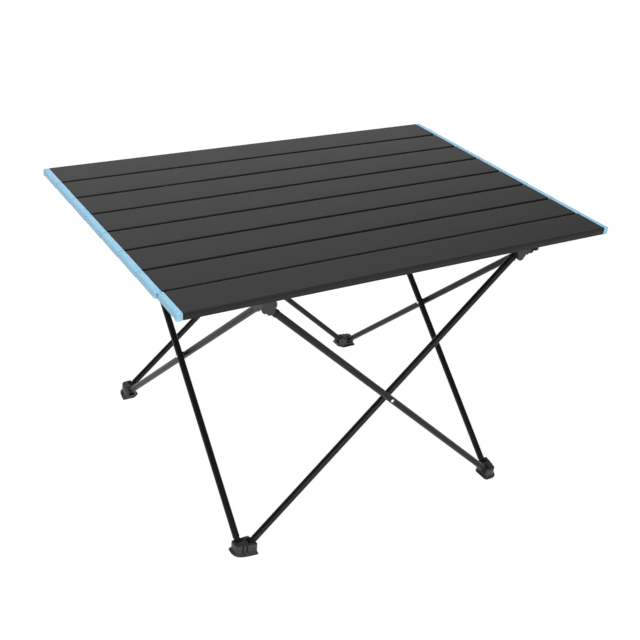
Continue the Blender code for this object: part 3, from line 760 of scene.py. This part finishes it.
def cap_shape(number):
    """The right-hand cap: its bore is on x = 0, and the top face at z = 0."""
    skirt, overhang = skirt_of(number), 0 if number == 1 else CAP_OVERHANG
    half = SLAT_WIDTH / 2
    front_gap = FRONT_GAP if number == 2 else SLAT_GAP
    back_gap = FRONT_GAP if number == 1 else SLAT_GAP
    front = half if skirt < 0 else (SLAT_WIDTH + front_gap - CAP_GAP) / 2
    back = half if skirt > 0 else (SLAT_WIDTH + back_gap - CAP_GAP) / 2
    top_front, top_back = (-front, 0, CAP_EASE), (back, 0, CAP_EASE)
    low_front, low_back = [(-front, -CAP_DEPTH, CAP_EASE)], [(back, -CAP_DEPTH, CAP_EASE)]
    if skirt < 0:
        step = -front + CAP_SKIRT_WIDTH
        low_front = [
            (-front, -CAP_SKIRT_DEPTH, CAP_EASE),
            (step, -CAP_SKIRT_DEPTH, 0.0008),
            (step, -CAP_DEPTH, 0.0004),
        ]
    if skirt > 0:
        step = back - CAP_SKIRT_WIDTH
        low_back = [
            (step, -CAP_DEPTH, 0.0004),
            (step, -CAP_SKIRT_DEPTH, 0.0008),
            (back, -CAP_SKIRT_DEPTH, CAP_EASE),
        ]
    corners = [top_front, *low_front, *low_back, top_back]
    outline = eased(corners)
    outer = CAP_LENGTH / 2 + overhang
    stations = (
        (-CAP_LENGTH / 2, 0),
        (outer - 0.0013, 0),
        (outer - 0.0007, 0.00016),
        (outer - 0.0002, 0.0006),
        (outer, 0.0012),
    )
    cap = shell("cap", [[(x, y, z) for y, z in drawn_in(outline, by)] for x, by in stations])
    for vertex in cap.data.vertices:
        if vertex.co.x > 0:
            vertex.co.x -= CAP_TAPER * (vertex.co.y + front) / (front + back)
    inner = half - (SKIRT_WALL if skirt else WALL) - PRONG_CLEARANCE
    near, far = RIB_OFFSET - PRONG_RIB_CLEARANCE, RIB_OFFSET + PRONG_RIB_CLEARANCE
    for start, end in ((-inner, -far), (-near, near), (far, inner)):
        low = (-CAP_LENGTH / 2 - PRONG_LENGTH, start, -SLAT_DEPTH + WALL + PRONG_CLEARANCE)
        work(cap, block(low, (-CAP_LENGTH / 2 + 0.0010, end, -WALL - PRONG_CLEARANCE)), "UNION")
    # The cord's bore runs through, but stops short of the table's outside in the first and the last cap
    start, end = (-front + WALL if skirt < 0 else -BORE_REACH), (back - WALL if skirt > 0 else BORE_REACH)
    work(cap, peg((0, start, -CORD_DROP), (0, end, -CORD_DROP), CORD_BORE), "DIFFERENCE")
    for x, y in ((0.0003, -front + 0.0060), (0.0013, back - 0.0042)):
        work(cap, peg((x, y, -EJECTOR_DEPTH), (x, y, 0.001), EJECTOR_RADIUS), "DIFFERENCE")
    return moulded(cap, 0.0002, 45)


CAP_BLUE = Finish("cap_blue", 0.42, specular=0.45)
spot = CAP_BLUE.place()
flow = CAP_BLUE.noise(spot, 120, detail=4)
CAP_BLUE.feed("Base Color", CAP_BLUE.mixed(flow, (0.25, 0.50, 0.68), (0.31, 0.59, 0.78)))
CAP_BLUE.bump(CAP_BLUE.noise(spot, 1500, detail=2), 0.00006, 0.4)

for number in range(1, SLAT_COUNT + 1):
    right = cap_shape(number)
    left = right.copy()
    left.transform(Matrix.Scale(-1, 4, (1, 0, 0)))
    left.flip_normals()
    for end, side, cap in (("left", -1, left), ("right", 1, right)):
        place = slat_place(number) @ Matrix.Translation((side * (TABLE_LENGTH - CAP_LENGTH) / 2, 0, 0))
        node = f"end_cap_{end}_{number}"
        fit(f"moulded_cap_{end}_{number}", cap, place, f"slat_{number}", node, CAP_BLUE)

# Elastic cords: black braided shock cord, one run through the caps at each end of the table and knotted in the
# outermost ones. They keep the shapes of the solids and only get their surface here.
CORD_BRAID = Finish("cord_braid", 0.85, specular=0.3)
braid = CORD_BRAID.noise(CORD_BRAID.place(), 900, detail=2)
CORD_BRAID.feed("Base Color", CORD_BRAID.mixed(braid, (0.012, 0.012, 0.012), (0.04, 0.04, 0.04)))
CORD_BRAID.bump(braid, 0.0002, 0.6)
for end in ("left", "right"):
    for number in range(1, SLAT_COUNT + 1):
        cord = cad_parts[f"elastic_cord_{end}_{number}"]
        cord.data.materials.clear()
        cord.data.materials.append(CORD_BRAID.material)

# The studio: a lit white floor, a pale surround that is brightest behind the table and dark above, a wide soft
# light overhead and another low in front.
FLOOR_REACH = 7
FLOOR_THICKNESS = 0.05
floor_corners = [(sx * FLOOR_REACH, sy * FLOOR_REACH) for sx, sy in CORNER_SIGNS]
floor = upright("floor", [(z, floor_corners) for z in (-FLOOR_THICKNESS, 0)])
FLOOR_WHITE = Finish("floor_white", 0.9, specular=0.1)
FLOOR_WHITE.surface.inputs["Base Color"].default_value = (0.10, 0.10, 0.10, 1)
FLOOR_WHITE.surface.inputs["Emission Color"].default_value = (1, 1, 1, 1)
FLOOR_WHITE.surface.inputs["Emission Strength"].default_value = 0.97
floor.data.materials.append(FLOOR_WHITE.material)

LIGHT_AIM = Vector((0, 0, 0.25))
HORIZON_WHITE = 0.62
BACKDROP_WHITE = 1.25
OVERHEAD_GREY = 0.04
world = bpy.data.worlds.new("surround")
world.use_nodes = True
sky = world.node_tree
toward = sky.nodes.new("ShaderNodeTexCoord")
brightest = sky.nodes.new("ShaderNodeMath")
brightest.operation = "MAXIMUM"
# Two fades over the surround, downwards and towards the backdrop: way, where it starts and ends, and both levels
FADES = (
    ((0, 0, -1), -0.30, -0.18, OVERHEAD_GREY, HORIZON_WHITE),
    ((0.25, 0.90, -0.25), 0.57, 0.80, 0, BACKDROP_WHITE),
)
for number, (way, low, high, dark, bright) in enumerate(FADES):
    along = sky.nodes.new("ShaderNodeVectorMath")
    along.operation = "DOT_PRODUCT"
    along.inputs[1].default_value = way
    shade = sky.nodes.new("ShaderNodeMapRange")
    for socket, value in (("From Min", low), ("From Max", high), ("To Min", dark), ("To Max", bright)):
        shade.inputs[socket].default_value = value
    sky.links.new(toward.outputs["Generated"], along.inputs[0])
    sky.links.new(along.outputs["Value"], shade.inputs["Value"])
    sky.links.new(shade.outputs[0], brightest.inputs[number])
sky.links.new(brightest.outputs[0], sky.nodes["Background"].inputs["Strength"])
sky.nodes["Background"].inputs["Color"].default_value = (1, 1, 1, 1)
bpy.context.scene.world = world

for name, size, energy, place in (
    ("overhead", (2.0, 1.5), 42, Vector((-0.25, 0.1, 2.2))),
    ("softbox", (1.4, 0.8), 18, Vector((-0.6, -2.0, 0.8))),
):
    lamp = bpy.data.objects.new(name, bpy.data.lights.new(name, "AREA"))
    lamp.data.shape = "RECTANGLE"
    lamp.data.size, lamp.data.size_y = size
    lamp.data.energy = energy
    lamp.location = place
    lamp.rotation_euler = (place - LIGHT_AIM).to_track_quat("Z", "Y").to_euler()
    bpy.context.scene.collection.objects.link(lamp)
bpy.context.scene.view_settings.view_transform = "Standard"
